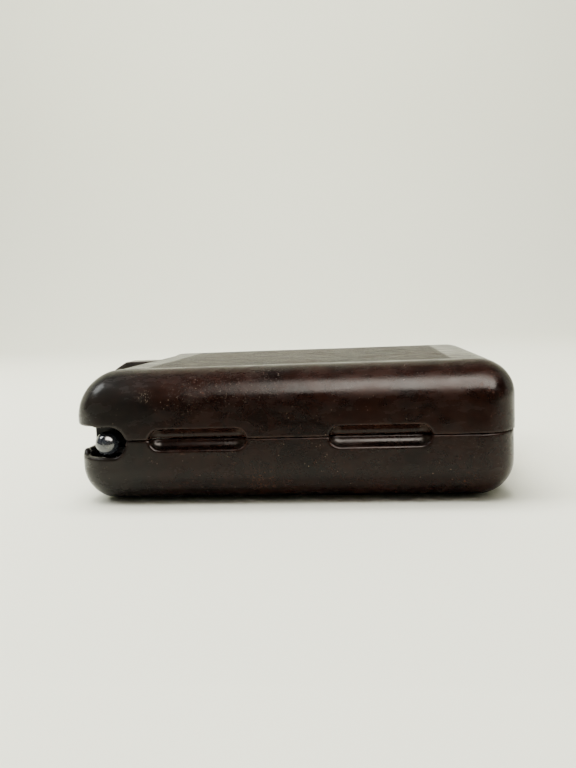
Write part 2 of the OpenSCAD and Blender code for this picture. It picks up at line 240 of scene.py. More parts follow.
# Where the near side is most worn, and where pale scuffs on the lid's near rounding also paint the faint
# left end of the highlight band: centres in millimetres and reach
PALE_SCRATCHES = [((-43.0, -52.0, 34.0), 2.8)]
SCUFFS_AND_PAINTED_HIGHLIGHT = [((-29.0, -51.5, 34.5), 9.0), ((-16.0, -51.0, 35.0), 9.0), ((-7.0, -49.5, 37.0), 9.0)]
WORN_PATCHES = [((-21.5, -51.5, 8.3), 3.6), ((-8.5, -51.5, 7.8), 6.5), ((52.0, -51.5, 8.1), 4.0),
                ((-32.3, -52.7, 16.8), 1.6)]


def spots(n, places):
    """1 at the given places, falling to 0 at their reach."""
    total = None
    for centre, reach in places:
        away = n.add("ShaderNodeVectorMath", operation="DISTANCE")
        n.put(away, 0, n.coordinates())
        away.inputs[1].default_value = centre
        near = n.step(away.outputs["Value"], reach, 0.45 * reach)
        total = near if total is None else n.math("MAXIMUM", total, near)
    return total


def make_bakelite(name, brown=1.0, wear=1.0, grey=0.015):
    """Old dark phenolic moulding: mottled, polished by handling, chipped along its edges."""
    made, n = material(name)
    broad = n.noise(19, detail=3, distortion=0.6, seed=2)
    swirl = n.noise(6.5, detail=6, roughness=0.62, distortion=1.3, seed=5)
    fine = n.noise(0.8, detail=5, roughness=0.7, seed=8)
    mottle = n.math("ADD", n.math("MULTIPLY", broad, 0.55), n.math("MULTIPLY", swirl, 0.45))
    colour = n.mix(n.step(mottle, 0.36, 0.64),
                   rgb(0.0030 * brown, 0.0010 * brown, 0.0007 * brown),
                   rgb(0.0125 * brown, 0.0036 * brown, 0.0020 * brown))
    # red-brown blotches where the surface resin has gone
    patch_mask = n.step(n.noise(11, detail=2, seed=21), 0.53, 0.66)
    patches = n.math("MULTIPLY", n.step(n.noise(1.5, detail=7, roughness=0.7, seed=13), 0.57, 0.68),
                     patch_mask)
    colour = n.mix(n.math("MULTIPLY", patches, 0.36 * wear), colour, rgb(0.070, 0.020, 0.010))
    # pale specks of filler
    speck_cells = n.add("ShaderNodeTexVoronoi", feature="F1")
    n.put(speck_cells, "Vector", n.coordinates())
    n.put(speck_cells, "Scale", 0.55)
    speck = n.step(speck_cells.outputs["Distance"], 0.075, 0.13, 1.0, 0.0)
    speck = n.math("MULTIPLY", speck, n.step(n.noise(9, detail=2, seed=33), 0.52, 0.62))
    colour = n.mix(n.math("MULTIPLY", speck, 0.3 * wear), colour, rgb(0.26, 0.19, 0.14))
    # rubbed edges
    edge = n.step(n.attribute("curve"), 0.5, 1.5)
    edge = n.math("MULTIPLY", edge, n.step(n.noise(5.5, detail=6, roughness=0.65, seed=41), 0.44, 0.66))
    colour = n.mix(n.math("MULTIPLY", edge, 0.34 * wear), colour, rgb(0.080, 0.038, 0.025))
    # scratches
    marks = scratches(n, 3.0, 0.5, (0.3, 0.2, 0.4), n.step(n.noise(14, detail=3, seed=51), 0.5, 0.62))
    marks = n.math("MAXIMUM", marks, scratches(n, 7.0, 0.7, (0.1, 0.9, 2.2),
                                               n.step(n.noise(17, detail=3, seed=57), 0.5, 0.6)))
    marks = n.math("MULTIPLY", marks, n.step(fine, 0.4, 0.6))
    colour = n.mix(n.math("MULTIPLY", marks, 0.28 * wear), colour, rgb(0.22, 0.15, 0.11))
    # the worn places of the near side; the pale scuffs along the lid's near rounding are partly a painted
    # highlight, the faint left end of the highlight band
    strokes = n.step(n.noise(0.30, detail=2, stretch=(1, 1, 0.22), seed=96), 0.55, 0.68)
    strokes = n.math("MULTIPLY", strokes, spots(n, PALE_SCRATCHES))
    scuffs_and_highlight = n.step(n.noise(0.5, detail=5, roughness=0.75, stretch=(0.6, 1, 1), seed=93), 0.56, 0.66)
    scuffs_and_highlight = n.math("MULTIPLY", scuffs_and_highlight, spots(n, SCUFFS_AND_PAINTED_HIGHLIGHT))
    worn = n.step(n.noise(0.9, detail=6, roughness=0.72, seed=95), 0.52, 0.66)
    worn = n.math("MULTIPLY", worn, spots(n, WORN_PATCHES))
    colour = n.mix(n.math("MULTIPLY", strokes, 0.42 * wear), colour, rgb(0.36, 0.28, 0.21))
    # pale scuffs, partly a painted highlight on the lid's near rounding
    colour = n.mix(n.math("MULTIPLY", scuffs_and_highlight, 0.34 * wear), colour, rgb(0.18, 0.145, 0.12))
    colour = n.mix(n.math("MULTIPLY", worn, 0.30 * wear), colour, rgb(0.150, 0.068, 0.040))
    scuffs_and_highlight = n.math("MAXIMUM", scuffs_and_highlight, strokes)
    # dust in the hollows and on what faces up
    hollow = n.step(n.attribute("curve"), -0.25, -0.9)
    facing_up = n.step(n.upward(), 0.75, 1.0)
    dust = n.math("MULTIPLY", facing_up, n.step(n.noise(3.3, detail=6, seed=61), 0.35, 0.75))
    dust = n.math("ADD", n.math("MULTIPLY", dust, 0.05), n.math("MULTIPLY", hollow, 0.10), clamp=True)
    colour = n.mix(dust, colour, rgb(0.34, 0.30, 0.26))
    # the end by the mouth is greyer
    greyed = n.step(n.place()[0], -30, -62, 0.0, 0.6)
    colour = n.mix(greyed, colour, rgb(grey, grey * 0.98, grey * 0.92))
    smear = n.noise(4.2, detail=6, roughness=0.6, stretch=(0.45, 1, 1), seed=71)
    rough = n.step(smear, 0.3, 0.75, 0.15, 0.38)
    rough = n.math("ADD", rough, n.math("MULTIPLY", n.math("MAXIMUM", edge, patches), 0.22))
    rough = n.math("ADD", rough, n.math("MULTIPLY", n.math("MAXIMUM", marks, scuffs_and_highlight), 0.2), clamp=True)
    height = n.math("SUBTRACT", n.math("MULTIPLY", fine, 0.16), n.math("MULTIPLY", marks, 0.5))
    height = n.math("SUBTRACT", height, n.math("MULTIPLY", patches, 0.3))
    normal = n.bump(n.noise(2.4, detail=3, seed=81), 0.12, 0.25)
    normal = n.bump(n.noise(0.9, detail=4, roughness=0.7, stretch=(0.6, 1, 1), seed=85), 0.34, 0.10, normal)
    normal = n.bump(height, 0.55, 0.05, normal)
    # the flat top is duller than the sides
    n.finish(Base_Color=colour, Roughness=rough, Normal=normal, IOR=1.52,
             Specular_IOR_Level=n.step(n.upward(), 0.8, 1.0, 0.12, 0.03),
             Coat_Weight=0.02, Coat_IOR=1.5, Coat_Roughness=n.step(smear, 0.3, 0.8, 0.10, 0.26))
    return made


def make_knob_finish():
    """Polished blue-black moulding with small handling marks."""
    made, n = material("knob_finish")
    cloud = n.noise(1.6, detail=4, seed=4)
    marks = scratches(n, 2.0, 0.3, (0.7, 0.3, 0.2), n.step(n.noise(2.5, detail=2, seed=9), 0.5, 0.6))
    colour = n.mix(cloud, rgb(0.016, 0.018, 0.024), rgb(0.028, 0.031, 0.041))
    colour = n.mix(n.math("MULTIPLY", marks, 0.3), colour, rgb(0.2, 0.2, 0.22))
    rough = n.math("ADD", n.step(cloud, 0.3, 0.7, 0.10, 0.2), n.math("MULTIPLY", marks, 0.2))
    n.finish(Base_Color=colour, Roughness=rough, Normal=n.bump(cloud, 0.06, 0.1), IOR=1.6,
             Coat_Weight=0.5, Coat_Roughness=0.06)
    return made


def make_metal(name, base, dark, rough, grain=(1, 1, 1), tarnish=0.5):
    """Worked metal: a directional grain, cloudy tarnish and small pits."""
    made, n = material(name)
    cloud = n.noise(3.2, detail=5, roughness=0.6, seed=3)
    lines = n.noise(0.35, detail=3, stretch=grain, seed=6)
    pits = n.step(n.noise(0.5, detail=4, roughness=0.7, seed=12), 0.62, 0.7)
    stain = n.step(cloud, 0.42, 0.68, 0.0, tarnish)
    colour = n.mix(stain, base, dark)
    colour = n.mix(n.math("MULTIPLY", pits, 0.5 * tarnish), colour, rgb(0.05, 0.03, 0.02))
    roughness = n.math("ADD", n.step(lines, 0.3, 0.7, rough - 0.06, rough + 0.1),
                       n.math("MULTIPLY", stain, 0.25), clamp=True)
    normal = n.bump(lines, 0.18, 0.03)
    normal = n.bump(pits, 0.12, -0.03, normal)
    n.finish(Base_Color=colour, Metallic=1.0, Roughness=roughness, Normal=normal)
    return made


def make_rubber():
    """Matt rubber with a fine ground surface, shinier in patches."""
    made, n = material("roller_rubber")
    grain = n.noise(0.25, detail=5, roughness=0.75, seed=2)
    cloud = n.noise(2.2, detail=4, seed=7)
    colour = n.mix(cloud, rgb(0.012, 0.0115, 0.012), rgb(0.038, 0.035, 0.033))
    n.finish(Base_Color=colour, Roughness=n.step(cloud, 0.3, 0.7, 0.55, 0.85),
             Normal=n.bump(grain, 0.5, 0.06))
    return made


def make_baize():
    """Green baize: short felted fibres, worn paler in patches."""
    made, n = material("baize")
    fibre = n.noise(0.22, detail=6, roughness=0.8, stretch=(1, 0.5, 1), distortion=1.0, seed=3)
    pile = n.noise(0.9, detail=5, roughness=0.7, seed=5)
    wear = n.noise(14, detail=3, seed=9)
    colour = n.mix(n.step(fibre, 0.35, 0.65), rgb(0.003, 0.016, 0.008), rgb(0.016, 0.058, 0.030))
    colour = n.mix(n.step(wear, 0.45, 0.75, 0.0, 0.3), colour, rgb(0.040, 0.075, 0.042))
    n.finish(Base_Color=colour, Roughness=0.95, Normal=n.bump(n.math("ADD", fibre, pile), 0.8, 0.25),
             Sheen_Weight=0.1, Sheen_Roughness=0.5, Sheen_Tint=rgb(0.3, 0.5, 0.35),
             Specular_IOR_Level=0.1)
    return made


BAKELITE = make_bakelite("bakelite")
DARK_BAKELITE = make_bakelite("bakelite_inner", brown=0.6, wear=0.5)
TAB_BAKELITE = make_bakelite("bakelite_tab", brown=1.6, grey=0.05)
KNOB = make_knob_finish()
STEEL = make_metal("turned_steel", rgb(0.30, 0.29, 0.28), rgb(0.11, 0.085, 0.065), 0.28, (1, 0.1, 1))
SHEET_STEEL = make_metal("plate_steel", rgb(0.20, 0.20, 0.20), rgb(0.085, 0.072, 0.060), 0.38, (0.08, 1, 1))
BRASS = make_metal("aged_brass", rgb(0.31, 0.205, 0.075), rgb(0.085, 0.052, 0.022), 0.34,
                   (1, 0.15, 1), 0.75)
WIRE = make_metal("spring_wire", rgb(0.42, 0.41, 0.40), rgb(0.14, 0.11, 0.09), 0.3)
RUBBER = make_rubber()
BAIZE = make_baize()

# ------------------------------------------------------------------ distance fields

# Each field takes arrays x, y, z in millimetres and is negative inside the solid.


def smooth_max(a, b, blend):
    """The larger of two fields, with a rounding about blend wide where they meet."""
    h = np.maximum(blend - np.abs(a - b), 0) / blend
    return np.maximum(a, b) + h * h * blend / 4


def smooth_min(a, b, blend):
    return -smooth_max(-a, -b, blend)


def rounded_block(x, y, z, lo, hi, plan_r, front_r, rear_r, side_r):
    """A block with round upright edges, whose upper edges have a radius for each side.

    Its upper face is at hi[2], and it has no lower face.
    """
    mid_x, mid_y = (lo[0] + hi[0]) / 2, (lo[1] + hi[1]) / 2
    half_x, half_y = (hi[0] - lo[0]) / 2, (hi[1] - lo[1]) / 2
    u, v = x - mid_x, np.abs(y - mid_y)
    qx, qy = np.abs(u) - half_x + plan_r, v - half_y + plan_r
    plan = np.minimum(np.maximum(qx, qy), 0) + np.hypot(np.maximum(qx, 0), np.maximum(qy, 0)) - plan_r
    core = max(front_r, rear_r, side_r)
    px, py = np.maximum(np.abs(u) - half_x + core, 0), np.maximum(v - half_y + core, 0)
    toward_end = px * px / (px * px + py * py + 1e-6)
    end_r = np.where(u < 0, front_r, rear_r)
    r = side_r + (end_r - side_r) * toward_end
    a, b = plan + r, z - hi[2] + r
    return np.minimum(np.maximum(a, b), 0) + np.hypot(np.maximum(a, 0), np.maximum(b, 0)) - r


def segment_x(x, y, z, x0, x1, yc, zc):
    """Distance from a line along X."""
    dx = np.maximum(np.maximum(x0 - x, x - x1), 0)
    return np.sqrt(dx * dx + (y - yc) ** 2 + (z - zc) ** 2)


def block(x, y, z, lo, hi, r=0.0):
    """An upright box with all edges rounded by r."""
    d = [np.maximum(lo[i] + r - c, c - hi[i] + r) for i, c in enumerate((x, y, z))]
    outside = np.sqrt(sum(np.maximum(c, 0) ** 2 for c in d))
    return outside + np.minimum(np.maximum(np.maximum(d[0], d[1]), d[2]), 0) - r


def column(x, y, xc, yc, r):
    """A long round bar or hole, square to the two coordinates that are given."""
    return np.hypot(x - xc, y - yc) - r


# Shape of the shells, beside the places read from the CAD frame
WALL = 2.2
PLAN_R = 11.5
EDGE_R = 12.0
NOSE_R = 15.6
TAIL_R = 10.5
BASE_R = 11.2
GROOVE_R = 3.3
GROOVE_HALF = 11.8        # from a groove's middle to the centre of its round end
GROOVE_X = 27.5
RIM_ROUND = 0.35
GROOVE_ROUND = 0.28
LIP_ROUND = 2.6           # of the mouth's bullnosed lips
NOTCH_ROUND = 0.9         # of the edges round a knob notch
TRAY_LIP, LID_LIP = 16.9, 24.2
NOTCH_LOW, NOTCH_HIGH = 15.2, 24.6
NOTCH_END = LID_LO[0] + 18
NOTCH_INNER = 45.2
MOUTH_END = LID_LO[0] + 7
RECESS_DEPTH, RECESS_REACH = 1.1, 2.4
STANDING_STEP, STANDING_INSET = 0.3, 14
FAR = 99.0                # outside the whole case
RIB_PITCH = 3.2
RIB_DEPTH = 0.55
PANEL_LO, PANEL_HI = (-46.5, -39.0), (50.5, 39.0)
PANEL_FADE = 1.2          # over which the flutes run out at the panel's edge

# What stands inside the shells
ROOT = 3.0                # foot of the tray's ribs, inside its floor's rounding
RIB_OUT = 60              # past the side wall
GATE_LO, GATE_HI = (-62.4, -40), (-60.8, 40)
EAR_BOSS_LO, EAR_BOSS_HI, EAR_BOSS_TOP = (-49.8, 45.0), (-45.0, RIB_OUT), 17.2
GUIDES = ((-2.55, -1.05), (0.25, 1.75))            # on both sides of the divider's ends
GUIDE_IN, GUIDE_TOP = 46, 19.8
STOP_LO, STOP_HI, STOP_TOP = (60.2, 19), (61.8, 25), 18
PEG_X, PEG_Y, PEG_BOSS_R = 5, 49, 2.6
TRAY_PEG_R, TRAY_PEG_LOW = 1.02, 15
LID_PEG_R, LID_PEG_HIGH = 1.2, 22.6
LID_BOSS_TOP = 25
SCREW_X, SCREW_Y, SCREW_R, SCREW_LOW = -47.4, 47.8, 1.02, 9
RIB_BLEND = 0.8           # where a rib or boss meets the wall


def grooves(x, y, z):
    """Distance from the axes of the four finger grooves."""
    near = np.where(x < 0, -GROOVE_X, GROOVE_X)
    return segment_x(x - near, np.abs(y), z, -GROOVE_HALF, GROOVE_HALF, HALF_WIDTH, SEAM)


def mouth(x, y, z):
    """The slot across the front end with the two knob notches."""
    slot = np.maximum(np.maximum(TRAY_LIP - z, z - LID_LIP), x - MOUTH_END)
    r = (NOTCH_HIGH - NOTCH_LOW) / 2
    around = np.hypot(np.maximum(x - NOTCH_END + r, 0), z - (NOTCH_HIGH + NOTCH_LOW) / 2) - r
    notch = smooth_max(around, NOTCH_INNER - np.abs(y), 1.5)
    return smooth_min(slot, notch, 2.0)


def lip_blend(y):
    """The mouth's lips are bullnosed, and the notches at its two ends are crisper."""
    toward_notch = np.clip((np.abs(y) - NOTCH_INNER + 4) / 4, 0, 1)
    return LIP_ROUND + (NOTCH_ROUND - LIP_ROUND) * toward_notch


def hinge_recess(x, y, z):
    _, hi = box_mm("hinge_leaf_tray")
    knuckle = HINGE["pos_m"][2] / MM
    lo_corner = (LID_HI[0] - RECESS_DEPTH, -FAR, knuckle - RECESS_REACH)
    hi_corner = (FAR, hi[1] + 0.4, knuckle + RECESS_REACH)
    return block(x, np.abs(y), z, lo_corner, hi_corner, 0.3)


def panel_ribs(x, y):
    """How deep the flutes between the ribs of the lid's panel are, from 0 to 1."""
    across = np.abs(np.sin(np.pi * y / RIB_PITCH))
    flute = (1 - across) ** 1.6
    from_ends = np.minimum(x - PANEL_LO[0], PANEL_HI[0] - x)
    from_sides = np.minimum(y - PANEL_LO[1], PANEL_HI[1] - y)
    t = np.clip(np.minimum(from_ends, from_sides) / PANEL_FADE, 0, 1)
    return flute * t * t * (3 - 2 * t)


def peg_boss(x, ya, z, high):
    """The upright boss round a locating peg, joined straight to the side wall."""
    web = block(x, ya, z, (PEG_X - PEG_BOSS_R, PEG_Y, 0), (PEG_X + PEG_BOSS_R, RIB_OUT, high))
    return np.minimum(column(x, ya, PEG_X, PEG_Y, PEG_BOSS_R), web)


def tray_ribs(x, y, z):
    """The gate, the bosses of the bearings' ears, the divider's guides, the pegs' bosses, the stops."""
    ya = np.abs(y)
    ribs = [
        block(x, y, z, (*GATE_LO, ROOT), (*GATE_HI, TRAY_LIP), 0.4),
        block(x, ya, z, (*EAR_BOSS_LO, ROOT), (*EAR_BOSS_HI, EAR_BOSS_TOP), 0.3),
    ]
    for start, end in GUIDES:
        ribs.append(block(x, ya, z, (start, GUIDE_IN, ROOT), (end, RIB_OUT, GUIDE_TOP), 0.4))
    ribs.append(peg_boss(x, ya, z, 30))
    ribs.append(block(x, ya, z, (*STOP_LO, ROOT), (*STOP_HI, STOP_TOP), 0.4))
    return ribs


def tray_solid(x, y, z):
    lo, hi = TRAY_LO, TRAY_HI
    up = -z
    low = -STANDING_STEP
    body = rounded_block(x, y, up, (lo[0], lo[1], low), (hi[0], hi[1], low), PLAN_R, BASE_R, BASE_R,
                         BASE_R)
    flat = block(np.abs(x), np.abs(y), z, (-FAR, -FAR, lo[2]),
                 (LID_HI[0] - STANDING_INSET, LID_HI[1] - STANDING_INSET, WALL / 2), 0.1)
    groove = grooves(x, y, z)
    hollow = body + WALL
    solid_in = -(groove - GROOVE_R - WALL + 0.2)
    hollow = smooth_max(hollow, solid_in, 1.2)
    for rib in tray_ribs(x, y, z):
        hollow = smooth_max(hollow, -rib, RIB_BLEND)
    shell = np.minimum(smooth_max(body, -hollow, 0.5), flat)
    shell = smooth_max(shell, z - hi[2], RIM_ROUND)
    shell = smooth_max(shell, GROOVE_R - groove, GROOVE_ROUND)
    shell = smooth_max(shell, -mouth(x, y, z), lip_blend(y))
    shell = smooth_max(shell, -hinge_recess(x, y, z), 0.5)
    ya = np.abs(y)
    peg = np.maximum(column(x, ya, PEG_X, PEG_Y, TRAY_PEG_R), TRAY_PEG_LOW - z)
    screw = np.maximum(column(x, ya, SCREW_X, SCREW_Y, SCREW_R), SCREW_LOW - z)
    return np.maximum(np.maximum(shell, -peg), -screw)


def lid_solid(x, y, z):
    lo, hi = LID_LO, LID_HI
    body = rounded_block(x, y, z, lo, hi, PLAN_R, NOSE_R, TAIL_R, EDGE_R)
    groove = grooves(x, y, z)
    hollow = body + WALL
    hollow = smooth_max(hollow, GROOVE_R + WALL - groove, 1.2)
    ya = np.abs(y)
    boss = smooth_max(peg_boss(x, ya, z, FAR), z - LID_BOSS_TOP, RIB_BLEND)
    hollow = smooth_max(hollow, -boss, RIB_BLEND)
    body = body + RIB_DEPTH * panel_ribs(x, y) * np.clip((z - hi[2] + 3) / 2, 0, 1)
    shell = smooth_max(body, -hollow, 0.5)
    shell = smooth_max(shell, lo[2] - z, RIM_ROUND)
    shell = smooth_max(shell, GROOVE_R - groove, GROOVE_ROUND)
    shell = smooth_max(shell, -mouth(x, y, z), lip_blend(y))
    shell = smooth_max(shell, -hinge_recess(x, y, z), 0.5)
    peg = np.maximum(column(x, ya, PEG_X, PEG_Y, LID_PEG_R), z - LID_PEG_HIGH)
    return np.maximum(shell, -peg)


# ------------------------------------------------------------------ field to mesh


def field_gradient(solid, p, h=0.02):
    """Value and slope of a field at points p."""
    value = solid(*p.T)
    slope = np.empty_like(p)
    for axis in range(3):
        q = p.copy()
        q[:, axis] += h
        slope[:, axis] = (solid(*q.T) - value) / h
    return value, slope


def surface_net(solid, lo, hi, step):
    """A quad mesh on the field's zero level: points in millimetres and quads."""
    axes = [np.arange(lo[i] - 2 * step[i], hi[i] + 3 * step[i], step[i]) for i in range(3)]
    grid = np.meshgrid(*axes, indexing="ij")
    field = solid(*grid)
    inside = field < 0
    corners = [(i, j, k) for i in (0, 1) for j in (0, 1) for k in (0, 1)]
    shape = [n - 1 for n in field.shape]

    def shifted(a, c):
        return a[c[0]:c[0] + shape[0], c[1]:c[1] + shape[1], c[2]:c[2] + shape[2]]

    count = sum(shifted(inside, c).astype(np.int8) for c in corners)
    cells = np.argwhere((count > 0) & (count < 8))
    number = -np.ones(shape, np.int64)
    number[tuple(cells.T)] = np.arange(len(cells))
    total = np.zeros((len(cells), 3))
    hits = np.zeros(len(cells))
    for axis in range(3):
        for c in corners:
            if c[axis]:
                continue
            a = cells + c
            b = a.copy()
            b[:, axis] += 1
            fa, fb = field[tuple(a.T)], field[tuple(b.T)]
            cross = (fa < 0) != (fb < 0)
            t = np.where(cross, fa / np.where(cross, fa - fb, 1), 0)
            at = a.astype(float)
            at[:, axis] += t
            total += at * cross[:, None]
            hits += cross
    points = total / hits[:, None]
    points = np.array([axes[i][0] for i in range(3)]) + points * np.array(step)
    limit = 0.5 * min(step)
    for _ in range(4):
        value, slope = field_gradient(solid, points)
        move = -(value / np.maximum((slope ** 2).sum(1), 0.05))[:, None] * slope
        length = np.linalg.norm(move, axis=1, keepdims=True)
        points = points + move * np.minimum(1, limit / np.maximum(length, 1e-9))
    quads = []
    for axis in range(3):
        u, v = (axis + 1) % 3, (axis + 2) % 3
        first = [slice(None)] * 3
        first[axis] = slice(0, -1)
        second = [slice(None)] * 3
        second[axis] = slice(1, None)
        start, end = inside[tuple(first)], inside[tuple(second)]
        edges = np.argwhere(start != end)
        edges = edges[(edges[:, u] > 0) & (edges[:, v] > 0)
                      & (edges[:, u] < shape[u]) & (edges[:, v] < shape[v])]
        around = []
        for du, dv in ((-1, -1), (0, -1), (0, 0), (-1, 0)):
            cell = edges.copy()
            cell[:, u] += du
            cell[:, v] += dv
            around.append(number[tuple(cell.T)])
        quad = np.stack(around, 1)
        flip = ~start[tuple(edges.T)]
        quad[flip] = quad[flip][:, ::-1]
        quads.append(quad)
    return points, np.concatenate(quads)


def curvature(solid, points, reach=0.7):
    """Positive on convex edges, negative in hollows, in 1 / millimetre."""
    total = -6 * solid(*points.T)
    for axis in range(3):
        for side in (-reach, reach):
            q = points.copy()
            q[:, axis] += side
            total += solid(*q.T)
    return total / reach ** 2


def piece_from_field(name, solid, lo, hi, step, finish):
    """A smooth mesh object from a field, with its curvature kept for the material."""
    points, quads = surface_net(solid, lo, hi, step)
    mesh = bpy.data.meshes.new(name)
    mesh.vertices.add(len(points))
    mesh.vertices.foreach_set("co", (points * MM).astype(np.float32).ravel())
    mesh.loops.add(quads.size)
    mesh.loops.foreach_set("vertex_index", quads.astype(np.int32).ravel())
    mesh.polygons.add(len(quads))
    mesh.polygons.foreach_set("loop_start", np.arange(0, quads.size, 4, dtype=np.int32))
    mesh.polygons.foreach_set("use_smooth", np.ones(len(quads), bool))
    mesh.update(calc_edges=True)
    attribute = mesh.attributes.new("curve", "FLOAT", "POINT")
    attribute.data.foreach_set("value", curvature(solid, points).astype(np.float32))
    mesh.validate()
    piece = bpy.data.objects.new(name, mesh)
    bpy.context.scene.collection.objects.link(piece)
    piece.data.materials.append(finish)
    return piece


def stand_for(piece, body, slot, *nodes):
    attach(piece, body)
    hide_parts(*nodes)


# Thumb lift: a wedge that stands out of the lid's swept front end
LIFT_LO, LIFT_HI = box_mm("thumb_lift")
LIFT_SOAK = 1.0           # how far it reaches into the lid's wall
LIFT_BLEND = 0.5
LIFT_REAR = -53
# ends of its upper and lower slopes, from its tip and from the lid's top
LIFT_UPPER = ((0, -3.6), (6.1, -0.15))
LIFT_LOWER = ((0.3, -4.5), (7.3, -9))
EAR_LENGTH, EAR_THICKNESS, ARM_WIDTH = 4.8, 2.6, 3.7
BUSH_HOLE_R = 1.92
FELT_CORNER = 2


def slope(x, z, start, end):
    """Height above the line from start to end, measured square to it."""
    run, rise = end[0] - start[0], end[1] - start[1]
    return ((z - start[1]) * run - (x - start[0]) * rise) / math.hypot(run, rise)


def lift_solid(x, y, z):
    half = LIFT_HI[1]
    tip, top = LIFT_LO[0], LID_HI[2]
    plan = np.hypot(np.minimum(x - tip - half, 0), y) - half
    over, under = [[(tip + x0, top + z0) for x0, z0 in ends] for ends in (LIFT_UPPER, LIFT_LOWER)]
    upper = smooth_max(slope(x, z, *over), z - top, 0.3)
    lower = -slope(x, z, *under)
    wedge = smooth_max(smooth_max(plan, upper, LIFT_BLEND), lower, LIFT_BLEND)
    lid = rounded_block(x, y, z, LID_LO, LID_HI, PLAN_R, NOSE_R, TAIL_R, EDGE_R)
    return np.maximum(np.maximum(wedge, -(lid + LIFT_SOAK)), x - LIFT_REAR)


def bearing_solid(x, y, z):
    """Either bearing block: an arm along the card space, and an ear on the tray's boss."""
    ya = np.abs(y)
    inner, low = min(abs(BLOCK_LO[1]), abs(BLOCK_HI[1])), BLOCK_LO[2]
    ear_x, ear_top, arm_out = BLOCK_HI[0] - EAR_LENGTH, low + EAR_THICKNESS, inner + ARM_WIDTH
    arm = block(x, ya, z, (BLOCK_LO[0], inner, low), (ear_x, arm_out, BLOCK_HI[2]), 0.5)
    foot = block(x, ya, z, (ear_x - 1, inner, low), (BLOCK_HI[0], arm_out, ear_top), 0.4)
    ear_out = max(abs(BLOCK_LO[1]), abs(BLOCK_HI[1]))
    ear = block(x, ya, z, (ear_x, arm_out - 1, low), (BLOCK_HI[0], ear_out, ear_top), 0.4)
    solid = smooth_min(smooth_min(arm, foot, 1.0), ear, 0.5)
    bore = column(x, z, ROLLER_X, ROLLER_Z, BUSH_HOLE_R)
    return np.maximum(smooth_max(solid, -bore, 0.3), -column(x, ya, SCREW_X, SCREW_Y, SCREW_R))


def felt_solid(node):
    """A thin piece of baize with round corners, laid down with a slight swell."""
    lo, hi = box_mm(node)

    def solid(x, y, z):
        u, v = np.abs(x - (lo[0] + hi[0]) / 2), np.abs(y - (lo[1] + hi[1]) / 2)
        r = FELT_CORNER
        qx, qy = u - (hi[0] - lo[0]) / 2 + r, v - (hi[1] - lo[1]) / 2 + r
        plan = np.hypot(np.maximum(qx, 0), np.maximum(qy, 0)) + np.minimum(np.maximum(qx, qy), 0) - r
        swell = 0.05 * (np.sin(x / 4.1 + 1.3 * np.sin(y / 9)) * np.sin(y / 5.3) - 1)
        fray = 0.12 * (np.sin(2.1 * x) * np.sin(1.7 * y) - 1)
        return smooth_max(smooth_max(plan - fray, z - hi[2] - swell, 0.35), lo[2] - z, 0.2)
    return solid, lo, hi


def mesh_piece(name, points, faces, finish):
    """A smooth object from points in millimetres."""
    data = bpy.data.meshes.new(name)
    data.from_pydata([tuple(c * MM for c in p) for p in points], [], faces)
    for face in data.polygons:
        face.use_smooth = True
    data.validate()
    piece = bpy.data.objects.new(name, data)
    bpy.context.scene.collection.objects.link(piece)
    piece.data.materials.append(finish)
    return piece


def turned(profile, centre, axis, segments=56):
    """Points and quads of a profile of (radius, along) turned about an axis through centre."""
    others = [i for i in range(3) if i != axis]
    points, faces = [], []
    for r, along in profile:
        for k in range(segments):
            a = 2 * math.pi * k / segments
            p = list(centre)
            p[axis] += along
            p[others[0]] += r * math.cos(a)
            p[others[1]] += r * math.sin(a)
            points.append(p)
    for i in range(len(profile) - 1):
        for k in range(segments):
            m = (k + 1) % segments
            faces.append((i * segments + k, i * segments + m,
                          (i + 1) * segments + m, (i + 1) * segments + k))
    last = (len(profile) - 1) * segments
    faces.append(tuple(range(segments - 1, -1, -1)))
    faces.append(tuple(last + k for k in range(segments)))
    return points, faces


def outward(piece):
    """Turns all faces outward."""
    work = bmesh.new()
    work.from_mesh(piece.data)
    bmesh.ops.recalc_face_normals(work, faces=work.faces)
    work.to_mesh(piece.data)
    work.free()


RIVET_YS = (-12, -5, 5, 12)
SPRING_TURNS = 4
SPRING_PLACE = (-31.0, 22.0)
SPRING_RADII = (9.0, 5.0)
SPRING_WIRE_R = 0.43


def make_knobs():
    """Ball knobs with a short neck and a shallow centre mark."""
    radius = (KNOB_HI[0] - KNOB_LO[0]) / 2
    for side, name in ((-1, "near"), (1, "far")):
        lo, hi = box_mm("knob_" + name)
        centre = [(a + b) / 2 for a, b in zip(lo, hi)]
        profile = [(1.7, -radius + 0.02), (1.9, -radius + 0.12), (1.85, -radius * 0.88)]
        for i in range(41):
            a = math.radians(-60 + 145 * i / 40)
            profile.append((radius * math.cos(a), radius * math.sin(a)))
        profile += [(0.22, radius - 0.02), (0.12, radius - 0.12), (0.02, radius - 0.16)]
        points, faces = turned([(r, side * y) for r, y in profile], centre, 1, 72)
        knob = mesh_piece("knob_ball_" + name, points, faces, KNOB)
        outward(knob)
        stand_for(knob, "roller", "knob", "knob_" + name)


def make_rivets():
    """Domed rivet heads on the two hinge leaves."""
    for body in ("tray", "lid"):
        lo, hi = box_mm("hinge_rivets_" + body)
        middle = (lo[2] + hi[2]) / 2
        points, faces = [], []
        for y in RIVET_YS:
            profile = [(1.3, lo[0]), (1.3, lo[0] + 0.5), (0.75, lo[0] + 0.52), (0.75, hi[0] - 0.6)]
            profile += [(1.5, hi[0] - 0.58), (1.5, hi[0] - 0.45)]
            profile += [(1.5 * math.cos(a), hi[0] - 0.45 + 0.45 * math.sin(a))
                        for a in (0.3, 0.6, 0.9, 1.2, 1.5)]
            more, rings = turned(profile, (0, y, middle), 0, 28)
            faces += [tuple(len(points) + i for i in f) for f in rings]
            points += more
        rivets = mesh_piece("rivets_" + body, points, faces, BRASS)
        outward(rivets)
        stand_for(rivets, body, "brass", "hinge_rivets_" + body)


